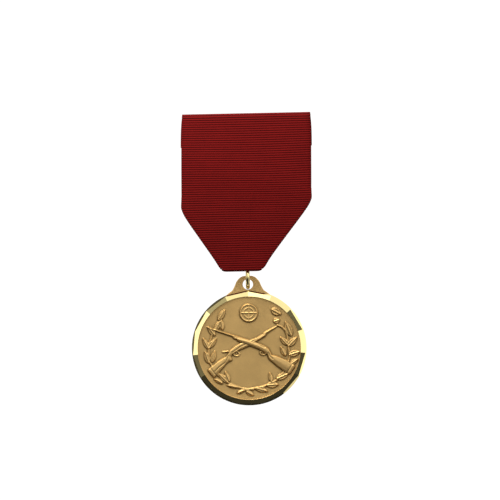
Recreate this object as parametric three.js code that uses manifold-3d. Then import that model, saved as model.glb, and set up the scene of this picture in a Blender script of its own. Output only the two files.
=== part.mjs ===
// A service medal: a folded ribbon with a sewn-on bar pin, a wire bail, a jump ring and a struck disc.
// Millimetres. +X to the right seen from the front, +Y to the back, +Z up. Lengths below are measured
// from the ribbon: z = 0 is its bottom edge, y = 0 its front face. The group then moves the origin to
// the middle of the pin's wire, which is what holds the medal up.
import * as THREE from "three";
import { mergeVertices } from "three/addons/utils/BufferGeometryUtils.js";
import Module from "manifold-3d";

const wasm = await Module();
wasm.setup();

// ---------------------------------------------------------------- sizes
const RIBBON_WIDTH = 35;
const RIBBON_HEIGHT = 42.7;
const RIBBON_THICKNESS = 0.45;
const SHOULDER_HEIGHT = 18.6; // where the straight sides turn in
const FOOT_WIDTH = 9.8; // bottom edge before its corners are rounded
const TAIL_LENGTH = 9.1; // how far the ribbon comes down again behind the top fold
const FOOT_FLAP_HEIGHT = 6; // the foot turned up behind
const SHOULDER_ROUNDING = 1.6;
const FOOT_ROUNDING = 1.2;

const CLOTH_GAP = 0.3; // room between the ribbon's layers and what lies between them
const SEAT_GAP = 0.1; // room between metal faces that touch

const BAR_THICKNESS = 0.7;
const BAR_HEIGHT = 7.4;
const BAR_SIDE_MARGIN = 1;

const PIN_WIRE = 0.9; // diameter of the pin
const PIN_HEIGHT = 37.9; // height of the pin over the ribbon's bottom edge
const PIN_STANDOFF = 2; // pin axis behind the base strip
const PIN_POINT_LENGTH = 3.2;
const PIN_OVERHANG = 1.1; // point past the catch
const BASE_LENGTH = 30;
const BASE_WIDTH = 4.6;
const BASE_THICKNESS = 0.5;
const BASE_ROUNDING = 1.2;
const STITCH_HOLE = 1.1; // diameter
const STITCH_HOLE_SPACING = 2.4;
const STITCH_HOLE_INSET = 1.5; // hole centre from the strip's end
const HINGE_X = -11;
const CATCH_X = 10; // middle of the catch
const EAR_THICKNESS = 0.5;
const EAR_WIDTH = 2.2;
const EYE_HEIGHT = 1; // the pin's flattened eye, along the rivet
const EYE_WALL = 0.6;
const EYE_PLAY = 0.15;
const RIVET_DIAMETER = 0.9;
const RIVET_HEAD = 1.5;
const RIVET_HEAD_HEIGHT = 0.35;

const BARREL_BORE = 1.5;
const BARREL_WALL = 0.55;
const BARREL_PLAY = 0.2;
const BARREL_SLOT = 1.3;
const BARREL_COLLAR = 0.4; // length of each collar, and of the thumb tab
const BARREL_COLLAR_RISE = 0.45;
const HOUSING_WALL = 0.4;
const HOUSING_LENGTH = 2.6;
const TAB_REACH = 3.1; // thumb tab's tip from the barrel's axis
const TAB_WIDTH = 1.3;

const THREAD = 0.36;

const RING_DIAMETER = 6.6; // outside
const RING_WIRE = 1.1;
const RING_SPLIT = 2; // degrees of the cut between the ring's ends
const BAIL_WIRE = 0.6;
const BAIL_WIDTH = 6;
const BAIL_LEG_TOP = 4.8;
const RING_SWING_ROOM = 0.25; // from the ribbon's front layer to the ring's foremost point
const NOTCH_HEIGHT = 1.5; // the turned-back layers are slit this high for the ring

const DISC_DIAMETER = 31;
const DISC_THICKNESS = 2.5;
const DISC_TOP_DROP = 5.2; // disc's top below the ribbon's bottom edge
const FACETS = 15;
const RIM_WIDTH = 1.6;
const FACET_SLOPE = 0.32; // drop for each millimetre outwards
const OUTER_FACET_SLOPE = 0.75;
const OUTER_FACET_WIDTH = 0.25; // at its narrowest, where two facets meet
const BACK_BEVEL = 0.3;
const FIELD_DEPTH = 0.6;
const REVERSE_DEPTH = 0.3;
const TAB_THICKNESS = 1.1;
const TAB_TOP_DROP = 1.15; // tab's top below the ribbon's bottom edge
const TAB_SHOULDER = 3.65; // half the tab's width beside its hole
const TAB_SHOULDER_SHARE = 0.52; // how far down from the top that is
const TAB_TOP_HALF = 1;
const TAB_TOP_HANDLE = 2.5; // how far the top's curve is pulled to each side
const TAB_CROWN_SHARE = 0.88;
const TAB_WAIST_SHARE = 0.465;
const TAB_SPREAD = 6; // half the tab's width where it meets the disc
const TAB_HOLE = 2.8;
const TAB_HOLE_DROP = 3.5;
const RELIEF_HEIGHT = 0.45;
const RELIEF_ROOT = 0.1; // the relief starts this far inside the field

const LEAF_PAIRS = 7;
const LEAF_LENGTH = 3.3;
const LEAF_WIDTH = 1.25;
const LEAF_LEAN = 24; // degrees from the branch
const LEAF_SPREAD = 1.25; // leaf centre from the branch's middle line
const BRANCH_START = -78; // degrees round the disc from +X
const BRANCH_END = 42;
const BRANCH_SHARE = 0.784; // of the field's radius
const RIFLE_SHARE = 1.83; // length as a share of the field's radius
const MARK_SHARE = 0.68; // the mark's height over the centre, as a share of the field's radius
const MARK_RADIUS = 2.5;
const MARK_LINE = 0.42;

const STITCH_LENGTH = 1.8;
const STITCH_PLACES = { outer: 0.24, middle: 0.5, inner: 0.76 }; // shares of a flap's raw edge

// ---------------------------------------------------------------- places worked out from the sizes
const FOLD_DEPTH = 2 * RIBBON_THICKNESS + 2 * CLOTH_GAP + BAR_THICKNESS;
const FOLD_AXIS_Z = RIBBON_HEIGHT - FOLD_DEPTH / 2;
const BASE_FRONT_Y = FOLD_DEPTH + CLOTH_GAP;
const BASE_BACK_Y = BASE_FRONT_Y + BASE_THICKNESS;
const PIN_Y = BASE_BACK_Y + PIN_STANDOFF;
const FLAPS_BACK_Y = 3 * RIBBON_THICKNESS;
const RING_RADIUS = (RING_DIAMETER - RING_WIRE) / 2; // to the middle of the wire
const HOLE_BOTTOM_DROP = TAB_HOLE_DROP + TAB_HOLE / 2;
const RING_Z = -(HOLE_BOTTOM_DROP - SEAT_GAP) + RING_DIAMETER / 2;
const RING_Y = RIBBON_THICKNESS + RING_SWING_ROOM + RING_DIAMETER / 2;
const BAIL_Z = RING_Z + RING_RADIUS - RING_WIRE / 2 - BAIL_WIRE / 2;
const DISC_CENTRE_DROP = DISC_TOP_DROP + DISC_DIAMETER / 2;
const ORIGIN = new THREE.Vector3(0, PIN_Y, PIN_HEIGHT);

// ---------------------------------------------------------------- materials
const metal = (color, roughness) => new THREE.MeshStandardMaterial({ color, roughness, metalness: 1 });
const RIBBON_RED = new THREE.MeshStandardMaterial({ color: 0x7a1519, roughness: 0.85, metalness: 0 });
const THREAD_RED = new THREE.MeshStandardMaterial({ color: 0x5e0f13, roughness: 0.8, metalness: 0 });
const GOLD = metal(0xc9a45c, 0.3);
const BRASS = metal(0xc2a35e, 0.35);
const NICKEL = metal(0xb8b8b4, 0.3);

// ---------------------------------------------------------------- geometry helpers
// A closed geometry as a solid that can be joined and cut.
function solid(geometry) {
  const bare = geometry.index ? geometry.toNonIndexed() : geometry.clone();
  bare.deleteAttribute("normal");
  bare.deleteAttribute("uv");
  const merged = mergeVertices(bare, 1e-4);
  return new wasm.Manifold(new wasm.Mesh({
    numProp: 3,
    vertProperties: merged.attributes.position.array,
    triVerts: new Uint32Array(merged.index.array),
  }));
}

function geometryOf(body) {
  const { vertProperties, triVerts } = body.getMesh();
  return new THREE.BufferGeometry()
    .setAttribute("position", new THREE.BufferAttribute(vertProperties, 3))
    .setIndex(new THREE.BufferAttribute(triVerts, 1));
}

const join = (first, ...rest) => rest.reduce((all, next) => all.add(solid(next)), solid(first));
const cut = (body, ...tools) => tools.reduce((left, tool) => left.subtract(solid(tool)), body);

// An outline whose corners are [x, y, how far the rounding reaches back along both sides].
function outline(corners) {
  const shape = new THREE.Shape();
  corners.forEach(([x, y, reach], i) => {
    const corner = new THREE.Vector2(x, y);
    const towards = ([otherX, otherY]) =>
      new THREE.Vector2(otherX, otherY).sub(corner).setLength(reach).add(corner);
    const start = reach ? towards(corners.at(i - 1)) : corner;
    if (i) shape.lineTo(start.x, start.y);
    else shape.moveTo(start.x, start.y);
    if (reach) {
      const end = towards(corners[(i + 1) % corners.length]);
      shape.quadraticCurveTo(x, y, end.x, end.y);
    }
  });
  shape.closePath();
  return shape;
}

const rectangle = (width, height, reach) => outline([
  [-width / 2, -height / 2, reach],
  [width / 2, -height / 2, reach],
  [width / 2, height / 2, reach],
  [-width / 2, height / 2, reach],
]);

const extrude = (shape, depth, curveSegments = 6) =>
  new THREE.ExtrudeGeometry(shape, { depth, bevelEnabled: false, curveSegments });

// The outline's (x, y) become (x, z) on the object, and its thickness runs from y0 to y1.
const plate = (shape, y0, y1, segments) =>
  extrude(shape, y1 - y0, segments).rotateX(Math.PI / 2).translate(0, y1, 0);

// The outline's (x, y) become (y, z), and its length runs from x0 to x1.
const ALONG_X = new THREE.Matrix4().makeBasis(
  new THREE.Vector3(0, 1, 0),
  new THREE.Vector3(0, 0, 1),
  new THREE.Vector3(1, 0, 0),
);
const profile = (shape, x0, x1, segments) =>
  extrude(shape, x1 - x0, segments).applyMatrix4(ALONG_X).translate(x0, 0, 0);

const box = (size, centre) => new THREE.BoxGeometry(...size).translate(...centre);
const rodX = (radius, x0, x1, tipRadius = radius) =>
  new THREE.CylinderGeometry(tipRadius, radius, x1 - x0, 16)
    .rotateZ(-Math.PI / 2)
    .translate((x0 + x1) / 2, 0, 0);
const rodY = (radius, y0, y1, sides = 24) =>
  new THREE.CylinderGeometry(radius, radius, y1 - y0, sides).translate(0, (y0 + y1) / 2, 0);
const rodZ = (radius, z0, z1) =>
  new THREE.CylinderGeometry(radius, radius, z1 - z0, 20)
    .rotateX(Math.PI / 2)
    .translate(0, 0, (z0 + z1) / 2);

// Round wire along a curve, with closed ends.
function wire(curve, diameter, steps, sides = 10) {
  const section = new THREE.Shape(
    new THREE.Path().absarc(0, 0, diameter / 2, 0, 2 * Math.PI).getPoints(sides).slice(0, -1),
  );
  return new THREE.ExtrudeGeometry(section, { steps, extrudePath: curve, bevelEnabled: false });
}

// Straight runs joined by bends: [x, y, z, how far the bend reaches back].
function bentPath(points) {
  const path = new THREE.CurvePath();
  let last = new THREE.Vector3(...points[0]);
  for (let i = 1; i < points.length; i++) {
    const corner = new THREE.Vector3(...points[i]);
    const reach = points[i][3] ?? 0;
    if (!reach) {
      path.add(new THREE.LineCurve3(last, corner));
      last = corner;
      continue;
    }
    const before = last.clone().sub(corner).setLength(reach).add(corner);
    const after = new THREE.Vector3(...points[i + 1]).sub(corner).setLength(reach).add(corner);
    path.add(new THREE.LineCurve3(last, before));
    path.add(new THREE.QuadraticBezierCurve3(before, corner, after));
    last = after;
  }
  return path;
}

const medal = new THREE.Group();
medal.position.copy(ORIGIN).negate();
medal.name = "service_medal";

function add(name, shape, material, place = [0, 0, 0], parent = medal) {
  const geometry = shape.isBufferGeometry ? shape : geometryOf(shape);
  const mesh = new THREE.Mesh(geometry, material);
  mesh.name = name;
  mesh.position.set(...place);
  parent.add(mesh);
  return mesh;
}

// ---------------------------------------------------------------- ribbon
// The front panel, the fold over the bar with its tail behind, and the corners and foot turned back.
const halfRibbon = RIBBON_WIDTH / 2;
const halfFoot = FOOT_WIDTH / 2;

const panelOutline = outline([
  [-halfFoot, 0, FOOT_ROUNDING],
  [halfFoot, 0, FOOT_ROUNDING],
  [halfRibbon, SHOULDER_HEIGHT, SHOULDER_ROUNDING],
  [halfRibbon, FOLD_AXIS_Z, 0],
  [-halfRibbon, FOLD_AXIS_Z, 0],
  [-halfRibbon, SHOULDER_HEIGHT, SHOULDER_ROUNDING],
]);

function topFold() {
  const outer = FOLD_DEPTH / 2;
  const inner = outer - RIBBON_THICKNESS;
  const overlap = 1; // the fold's front leg runs down inside the panel
  const tailEnd = RIBBON_HEIGHT - TAIL_LENGTH;
  const hook = new THREE.Shape();
  hook.moveTo(0, FOLD_AXIS_Z - overlap);
  hook.lineTo(RIBBON_THICKNESS, FOLD_AXIS_Z - overlap);
  hook.lineTo(RIBBON_THICKNESS, FOLD_AXIS_Z);
  hook.absarc(outer, FOLD_AXIS_Z, inner, Math.PI, 0, true);
  hook.lineTo(FOLD_DEPTH - RIBBON_THICKNESS, tailEnd);
  hook.lineTo(FOLD_DEPTH, tailEnd);
  hook.lineTo(FOLD_DEPTH, FOLD_AXIS_Z);
  hook.absarc(outer, FOLD_AXIS_Z, outer, 0, Math.PI, false);
  return profile(hook, -halfRibbon, halfRibbon, 10);
}

// A corner of the strip mirrored about the slanted fold, so its point lands behind the panel.
function cornerTip() {
  const foot = new THREE.Vector2(halfFoot, 0);
  const shoulder = new THREE.Vector2(halfRibbon, SHOULDER_HEIGHT);
  const along = shoulder.clone().sub(foot).normalize();
  const corner = new THREE.Vector2(halfRibbon, 0);
  const across = corner.clone().sub(foot);
  const onFold = foot.clone().addScaledVector(along, across.dot(along));
  return onFold.multiplyScalar(2).sub(corner);
}

const FLAP_TIP = cornerTip();

function cornerFlap(side) {
  const corners = [
    [side * halfFoot, 0, 0],
    [side * halfRibbon, SHOULDER_HEIGHT, 0],
    [side * FLAP_TIP.x, FLAP_TIP.y, 0],
  ];
  return plate(outline(side > 0 ? corners : corners.reverse()), RIBBON_THICKNESS / 2, 2 * RIBBON_THICKNESS);
}

function ribbon() {
  const footFlap = box(
    [FOOT_WIDTH, FLAPS_BACK_Y - RIBBON_THICKNESS / 2, FOOT_FLAP_HEIGHT],
    [0, (FLAPS_BACK_Y + RIBBON_THICKNESS / 2) / 2, FOOT_FLAP_HEIGHT / 2],
  );
  const ringNotch = box(
    [RING_WIRE + 2 * CLOTH_GAP, FLAPS_BACK_Y, 2 * NOTCH_HEIGHT],
    [0, RIBBON_THICKNESS + FLAPS_BACK_Y / 2, 0],
  );
  const turnedBack = join(cornerFlap(1), cornerFlap(-1), footFlap)
    .intersect(solid(plate(panelOutline, 0, FLAPS_BACK_Y)));
  const panel = join(plate(panelOutline, 0, RIBBON_THICKNESS), topFold());
  return cut(panel.add(turnedBack), ringNotch);
}

add("ribbon", ribbon(), RIBBON_RED);

// ---------------------------------------------------------------- stiffener bar in the top fold
const barTop = RIBBON_HEIGHT - RIBBON_THICKNESS - CLOTH_GAP;
add(
  "stiffener_bar",
  plate(
    rectangle(RIBBON_WIDTH - 2 * BAR_SIDE_MARGIN, BAR_HEIGHT, 0.4),
    RIBBON_THICKNESS + CLOTH_GAP,
    RIBBON_THICKNESS + CLOTH_GAP + BAR_THICKNESS,
  ),
  NICKEL,
  [0, 0, barTop - BAR_HEIGHT / 2],
);

// ---------------------------------------------------------------- bar pin
// Everything here is placed from the pin's axis: y and z are measured from it.
const pinBack = new THREE.Group();
pinBack.position.set(0, PIN_Y, PIN_HEIGHT);
medal.add(pinBack);

const eyeRadius = RIVET_DIAMETER / 2 + EYE_PLAY + EYE_WALL;
const earInner = EYE_HEIGHT / 2 + 0.2;
const earOuter = earInner + EAR_THICKNESS;
const holeX = BASE_LENGTH / 2 - STITCH_HOLE_INSET;
const baseBack = -PIN_STANDOFF;
const baseFront = baseBack - BASE_THICKNESS;

function hingeEar(side) {
  const ear = outline([
    [-EAR_WIDTH / 2, baseBack - BASE_THICKNESS / 2, 0],
    [EAR_WIDTH / 2, baseBack - BASE_THICKNESS / 2, 0],
    [EAR_WIDTH / 2, EAR_WIDTH / 2, EAR_WIDTH / 2.4],
    [-EAR_WIDTH / 2, EAR_WIDTH / 2, EAR_WIDTH / 2.4],
  ]);
  const middle = side * (earInner + EAR_THICKNESS / 2);
  return extrude(ear, EAR_THICKNESS).translate(HINGE_X, 0, middle - EAR_THICKNESS / 2);
}

function pinBase() {
  const strip = plate(rectangle(BASE_LENGTH, BASE_WIDTH, BASE_ROUNDING), baseFront, baseBack);
  const holes = [-holeX, holeX].flatMap((x) => [-1, 1].map((side) =>
    rodY(STITCH_HOLE / 2, baseFront - 1, baseBack + 1, 16).translate(x, 0, side * STITCH_HOLE_SPACING / 2)));
  const rivetHole = rodZ(RIVET_DIAMETER / 2 + SEAT_GAP, -2 * earOuter, 2 * earOuter).translate(HINGE_X, 0, 0);
  return cut(join(strip, hingeEar(1), hingeEar(-1)), ...holes, rivetHole);
}

function hingeRivet() {
  const headStart = earOuter + SEAT_GAP;
  const headEnd = headStart + RIVET_HEAD_HEIGHT;
  const shank = rodZ(RIVET_DIAMETER / 2, -headEnd, headEnd);
  const heads = [-headEnd, headStart].map((start) =>
    rodZ(RIVET_HEAD / 2, start, start + RIVET_HEAD_HEIGHT));
  return join(shank, ...heads);
}

const barrelRadius = BARREL_BORE / 2 + BARREL_WALL;
const housingBore = barrelRadius + BARREL_PLAY;
const housingRadius = housingBore + HOUSING_WALL;
const barrelHalf = HOUSING_LENGTH / 2 + SEAT_GAP + BARREL_COLLAR;
const pinTip = CATCH_X + barrelHalf + PIN_OVERHANG;

function pinStem() {
  const eye = rodZ(eyeRadius, -EYE_HEIGHT / 2, EYE_HEIGHT / 2).translate(HINGE_X, 0, 0);
  const shaft = rodX(PIN_WIRE / 2, HINGE_X + eyeRadius / 2, pinTip - PIN_POINT_LENGTH);
  const point = rodX(PIN_WIRE / 2, pinTip - PIN_POINT_LENGTH, pinTip, 0.06);
  const hole = rodZ(RIVET_DIAMETER / 2 + EYE_PLAY, -EYE_HEIGHT, EYE_HEIGHT).translate(HINGE_X, 0, 0);
  return cut(join(eye, shaft, point), hole);
}

function catchHousing() {
  const half = HOUSING_LENGTH / 2;
  const footHeight = PIN_STANDOFF - SEAT_GAP - housingBore;
  const tube = rodX(housingRadius, -half, half);
  const foot = box(
    [HOUSING_LENGTH, footHeight + housingBore * 0.4, 2 * housingRadius],
    [0, baseBack + SEAT_GAP + (footHeight + housingBore * 0.4) / 2, 0],
  );
  const bore = rodX(housingBore, -2 * half, 2 * half);
  const mouth = box([4 * half, 2 * housingRadius, BARREL_SLOT + 0.2], [0, housingRadius, 0]);
  return cut(join(tube, foot), bore, mouth);
}

function catchBarrel() {
  const sleeve = rodX(barrelRadius, -barrelHalf, barrelHalf);
  const collarRadius = barrelRadius + BARREL_COLLAR_RISE;
  const collars = [
    rodX(collarRadius, -barrelHalf, -barrelHalf + BARREL_COLLAR),
    rodX(collarRadius, barrelHalf - BARREL_COLLAR, barrelHalf),
  ];
  const tab = box([BARREL_COLLAR, TAB_WIDTH, TAB_REACH], [barrelHalf - BARREL_COLLAR / 2, 0, TAB_REACH / 2]);
  const bore = rodX(BARREL_BORE / 2, -2 * barrelHalf, 2 * barrelHalf);
  const slot = box([4 * barrelHalf, 2 * collarRadius, BARREL_SLOT], [0, collarRadius, 0]);
  return cut(join(sleeve, ...collars, tab), bore, slot);
}

add("pin_base", pinBase(), BRASS, [0, 0, 0], pinBack);
add("hinge_rivet", hingeRivet(), NICKEL, [HINGE_X, 0, 0], pinBack);
add("pin_stem", pinStem(), NICKEL, [0, 0, 0], pinBack);
add("catch_housing", catchHousing(), BRASS, [CATCH_X, 0, 0], pinBack);
add("catch_barrel", catchBarrel(), BRASS, [CATCH_X, 0, 0], pinBack);

// Thread through the two holes at each end of the strip, down to the ribbon behind it.
const threadRise = THREAD / 2 + SEAT_GAP;
for (const [name, x] of [["pin_stitch_left", -holeX], ["pin_stitch_right", holeX]]) {
  const reach = STITCH_HOLE_SPACING / 2;
  const down = baseFront - CLOTH_GAP / 2;
  const over = baseBack + threadRise;
  const loop = bentPath([
    [0, down, -reach],
    [0, over, -reach, 0.3],
    [0, over, reach, 0.3],
    [0, down, reach],
  ]);
  add(name, wire(loop, THREAD, 24, 8), THREAD_RED, [x, 0, 0], pinBack);
}

// ---------------------------------------------------------------- bail and its thread
const legY = FLAPS_BACK_Y + SEAT_GAP + BAIL_WIRE / 2;
const legX = BAIL_WIDTH / 2;
const bail = bentPath([
  [-legX, legY, BAIL_LEG_TOP],
  [-legX, legY, BAIL_Z + 1, 0.7],
  [-legX, RING_Y, BAIL_Z, 0.7],
  [legX, RING_Y, BAIL_Z, 0.7],
  [legX, legY, BAIL_Z + 1, 0.7],
  [legX, legY, BAIL_LEG_TOP],
]);
add("hanger_bail", wire(bail, BAIL_WIRE, 64), BRASS);

// A whipped turn of thread over each leg, from the cloth on one side to the cloth on the other.
for (const [name, x] of [["bail_stitch_left", -legX], ["bail_stitch_right", legX]]) {
  const aside = BAIL_WIRE / 2 + SEAT_GAP + THREAD / 2;
  const over = legY + aside;
  const cloth = FLAPS_BACK_Y + SEAT_GAP;
  const turn = bentPath([
    [-aside, cloth, 0],
    [-aside, over, 0, 0.3],
    [aside, over, 0, 0.3],
    [aside, cloth, 0],
  ]);
  add(name, wire(turn, THREAD, 24, 8), THREAD_RED, [x, 0, BAIL_LEG_TOP - 1.2]);
}

// ---------------------------------------------------------------- thread on the turned-back corners
// Short stitches lie square across the raw edge that runs from each shoulder to its corner's tip.
const edgeTilt = Math.atan2(SHOULDER_HEIGHT - FLAP_TIP.y, halfRibbon - FLAP_TIP.x);
for (const [sideName, side] of [["left", -1], ["right", 1]]) {
  for (const [place, share] of Object.entries(STITCH_PLACES)) {
    const x = THREE.MathUtils.lerp(halfRibbon, FLAP_TIP.x, share);
    const z = THREE.MathUtils.lerp(SHOULDER_HEIGHT, FLAP_TIP.y, share);
    const y = 2 * RIBBON_THICKNESS + SEAT_GAP + THREAD / 2;
    const thread = rodZ(THREAD / 2, -STITCH_LENGTH / 2, STITCH_LENGTH / 2);
    const stitch = add(`flap_stitch_${sideName}_${place}`, thread, THREAD_RED, [side * x, y, z]);
    stitch.rotation.y = -side * edgeTilt;
  }
}

// ---------------------------------------------------------------- jump ring
class Hoop extends THREE.Curve {
  getPoint(t) {
    const split = THREE.MathUtils.degToRad(RING_SPLIT);
    const angle = split / 2 + t * (2 * Math.PI - split);
    return new THREE.Vector3(0, RING_RADIUS * Math.cos(angle), RING_RADIUS * Math.sin(angle));
  }
}

add("jump_ring", wire(new Hoop(), RING_WIRE, 48, 12), GOLD, [0, RING_Y, RING_Z]);

// ---------------------------------------------------------------- medal disc
// Built about its own centre: the axis is Y, and the front is at -Y.
const discRadius = DISC_DIAMETER / 2;
const front = -DISC_THICKNESS / 2;
const back = DISC_THICKNESS / 2;
const fieldRadius = discRadius - RIM_WIDTH;
const fieldY = front + FIELD_DEPTH;
const halfFacet = Math.PI / FACETS;

// A cone with the facets' number of sides, closing from a width at the front to a wider back.
function facetCone(frontRadius, slope) {
  const backRadius = frontRadius + DISC_THICKNESS / slope / Math.cos(halfFacet);
  return solid(new THREE.CylinderGeometry(backRadius, frontRadius, DISC_THICKNESS, FACETS));
}

// A turned blank, cut by two rows of planes: the broad facets and a steeper one outside each.
function blank() {
  const sides = [
    [0, front],
    [discRadius, front],
    [discRadius, back - BACK_BEVEL],
    [discRadius - BACK_BEVEL, back],
    [0, back],
  ];
  const turned = solid(new THREE.LatheGeometry(sides.map(([r, y]) => new THREE.Vector2(r, y)), 90));
  const meeting = discRadius - OUTER_FACET_WIDTH;
  const meetingDrop = (meeting - fieldRadius) * Math.cos(halfFacet) * FACET_SLOPE;
  const outerFront = meeting - meetingDrop / OUTER_FACET_SLOPE / Math.cos(halfFacet);
  return turned
    .intersect(facetCone(fieldRadius, FACET_SLOPE))
    .intersect(facetCone(outerFront, OUTER_FACET_SLOPE));
}

// A bell-shaped lug that widens into the disc's shoulder.
function tab() {
  const top = DISC_CENTRE_DROP - TAB_TOP_DROP;
  const root = discRadius - RIM_WIDTH;
  const shoulder = top + (root - top) * TAB_SHOULDER_SHARE;
  const waist = TAB_WAIST_SHARE * (TAB_SPREAD + TAB_SHOULDER);
  const crown = TAB_CROWN_SHARE * TAB_SHOULDER;
  const bell = new THREE.Shape();
  bell.moveTo(-TAB_SPREAD, root);
  bell.lineTo(TAB_SPREAD, root);
  bell.quadraticCurveTo(waist, (root + shoulder) / 2, TAB_SHOULDER, shoulder);
  bell.bezierCurveTo(crown, (top + shoulder) / 2, TAB_TOP_HANDLE, top, TAB_TOP_HALF, top);
  bell.lineTo(-TAB_TOP_HALF, top);
  bell.bezierCurveTo(-TAB_TOP_HANDLE, top, -crown, (top + shoulder) / 2, -TAB_SHOULDER, shoulder);
  bell.quadraticCurveTo(-waist, (root + shoulder) / 2, -TAB_SPREAD, root);
  return plate(bell, -TAB_THICKNESS / 2, TAB_THICKNESS / 2, 8);
}

// Relief stands on the field; every outline sinks a little below it so that the solids join.
const relief = (shape, height = RELIEF_HEIGHT, segments = 5) =>
  plate(shape, fieldY - height, fieldY + RELIEF_ROOT, segments);

// A long gun seen from its side, muzzle at the origin and butt along +x, of unit length.
const RIFLE_OUTLINE = [
  [0, -0.016], [0.3, -0.018], [0.32, -0.034], [0.61, -0.036], [0.63, -0.075], [0.7, -0.075],
  [0.715, -0.03], [0.76, -0.032], [0.965, -0.13], [1, -0.125], [1, -0.012], [0.74, 0.034],
  [0.66, 0.044], [0.6, 0.036], [0.32, 0.034], [0.3, 0.018], [0, 0.016],
];

// Muzzles are shares of the field's radius; the second rifle lies over the first.
const RIFLES = [
  { muzzle: [0.54, 0.424], tilt: 180 + 34.5, length: 0.85 * RIFLE_SHARE, mirrored: true, height: 0.8 },
  { muzzle: [-0.806, 0.41], tilt: -26.5, length: RIFLE_SHARE, mirrored: false, height: 1 },
];

function rifle({ muzzle, tilt, length, mirrored, height }) {
  const size = length * fieldRadius;
  const side = outline(RIFLE_OUTLINE.map(([x, y]) => [x * size, y * size, 0]));
  const body = solid(relief(side, RELIEF_HEIGHT * height));
  const turned = mirrored ? body.mirror([0, 0, 1]) : body;
  return turned.rotate([0, -tilt, 0]).translate([muzzle[0] * fieldRadius, 0, muzzle[1] * fieldRadius]);
}

function leafOutline(length, width) {
  const leaf = new THREE.Shape();
  leaf.moveTo(-length / 2, 0);
  leaf.quadraticCurveTo(-length / 8, -width, length / 2, 0);
  leaf.quadraticCurveTo(-length / 8, width, -length / 2, 0);
  return leaf;
}

// Pointed leaves in pairs along each branch, from the crossed stems at the foot upwards.
function wreath() {
  const leaves = [];
  for (const side of [-1, 1]) {
    for (let i = 0; i < LEAF_PAIRS; i++) {
      const bearing = THREE.MathUtils.lerp(BRANCH_START, BRANCH_END, i / (LEAF_PAIRS - 1));
      for (const row of [-1, 1]) {
        const angle = THREE.MathUtils.degToRad(bearing);
        const radius = BRANCH_SHARE * fieldRadius + row * LEAF_SPREAD * (i ? 1 : 0.6);
        const leaf = solid(relief(leafOutline(LEAF_LENGTH, LEAF_WIDTH), RELIEF_HEIGHT * 0.7, 4))
          .rotate([0, -(bearing + 90 - row * LEAF_LEAN), 0])
          .translate([radius * Math.cos(angle), 0, radius * Math.sin(angle)]);
        leaves.push(side > 0 ? leaf : leaf.mirror([1, 0, 0]));
      }
    }
  }
  return leaves;
}

// A round sight mark: a ring with a cross inside it and a dot at its centre.
function sightMark() {
  const ring = new THREE.Shape().absarc(0, 0, MARK_RADIUS, 0, 2 * Math.PI);
  ring.holes.push(new THREE.Path().absarc(0, 0, MARK_RADIUS - MARK_LINE, 0, 2 * Math.PI, true));
  const reach = 2 * MARK_RADIUS - MARK_LINE;
  const sizes = [[reach, MARK_LINE], [MARK_LINE, reach]];
  const bars = sizes.map(([width, height]) => relief(rectangle(width, height, 0)));
  const dot = new THREE.Shape().absarc(0, 0, 2 * MARK_LINE, 0, 2 * Math.PI);
  return join(relief(ring, RELIEF_HEIGHT, 12), relief(dot, RELIEF_HEIGHT, 4), ...bars)
    .translate([0, 0, MARK_SHARE * fieldRadius]);
}

function medalDisc() {
  const hole = rodY(TAB_HOLE / 2, 2 * front, 2 * back, 28)
    .translate(0, 0, DISC_CENTRE_DROP - TAB_HOLE_DROP);
  const sunkFront = rodY(fieldRadius, 2 * front, fieldY, 90);
  const sunkBack = rodY(fieldRadius, back - REVERSE_DEPTH, 2 * back, 90);
  const body = cut(blank().add(solid(tab())), sunkFront, sunkBack, hole);
  const floor = [sightMark(), ...RIFLES.map(rifle), ...wreath()];
  return floor.reduce((whole, part) => whole.add(part), body);
}

add("medal_disc", medalDisc(), GOLD, [0, RING_Y, -DISC_CENTRE_DROP]);

export default medal;
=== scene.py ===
import math

import bmesh
import bpy
import numpy as np
from mathutils import Matrix, Vector


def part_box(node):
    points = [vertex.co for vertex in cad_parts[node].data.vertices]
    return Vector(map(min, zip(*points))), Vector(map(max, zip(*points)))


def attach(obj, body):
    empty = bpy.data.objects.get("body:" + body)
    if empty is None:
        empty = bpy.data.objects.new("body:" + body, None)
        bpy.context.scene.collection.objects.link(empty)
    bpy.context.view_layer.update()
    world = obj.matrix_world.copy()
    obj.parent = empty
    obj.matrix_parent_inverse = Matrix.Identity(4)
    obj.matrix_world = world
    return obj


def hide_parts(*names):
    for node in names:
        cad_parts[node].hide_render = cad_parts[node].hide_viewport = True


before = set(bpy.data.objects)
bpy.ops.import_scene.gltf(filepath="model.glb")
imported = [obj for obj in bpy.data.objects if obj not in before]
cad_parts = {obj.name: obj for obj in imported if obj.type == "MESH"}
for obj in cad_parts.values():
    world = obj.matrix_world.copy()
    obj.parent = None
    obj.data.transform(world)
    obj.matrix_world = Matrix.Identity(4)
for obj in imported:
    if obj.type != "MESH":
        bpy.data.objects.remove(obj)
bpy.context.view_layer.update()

MM = 0.001

# ---------------- studio
# A pale floor lies well below the hanging medal. A small soft box close above it models the
# relief, a larger one fills from the right and another lights the back. The room is bright
# overhead and dim below, so that polished metal shows both.
ribbon_low, ribbon_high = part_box("ribbon")
origin = np.array([0, ribbon_low[1], ribbon_low[2]])


def place(points):
    """Millimetres from the ribbon's bottom edge and front face, as metres in the frame."""
    return np.asarray(points, float) * MM + origin


def linked(name, data):
    made = bpy.data.objects.new(name, data)
    bpy.context.scene.collection.objects.link(made)
    return made


def mesh_object(name, points, faces, material):
    mesh = bpy.data.meshes.new(name)
    mesh.from_pydata([tuple(p) for p in points], [], [tuple(f) for f in faces])
    mesh.polygons.foreach_set("use_smooth", [True] * len(mesh.polygons))
    mesh.materials.append(material)
    return linked(name, mesh)


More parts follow.
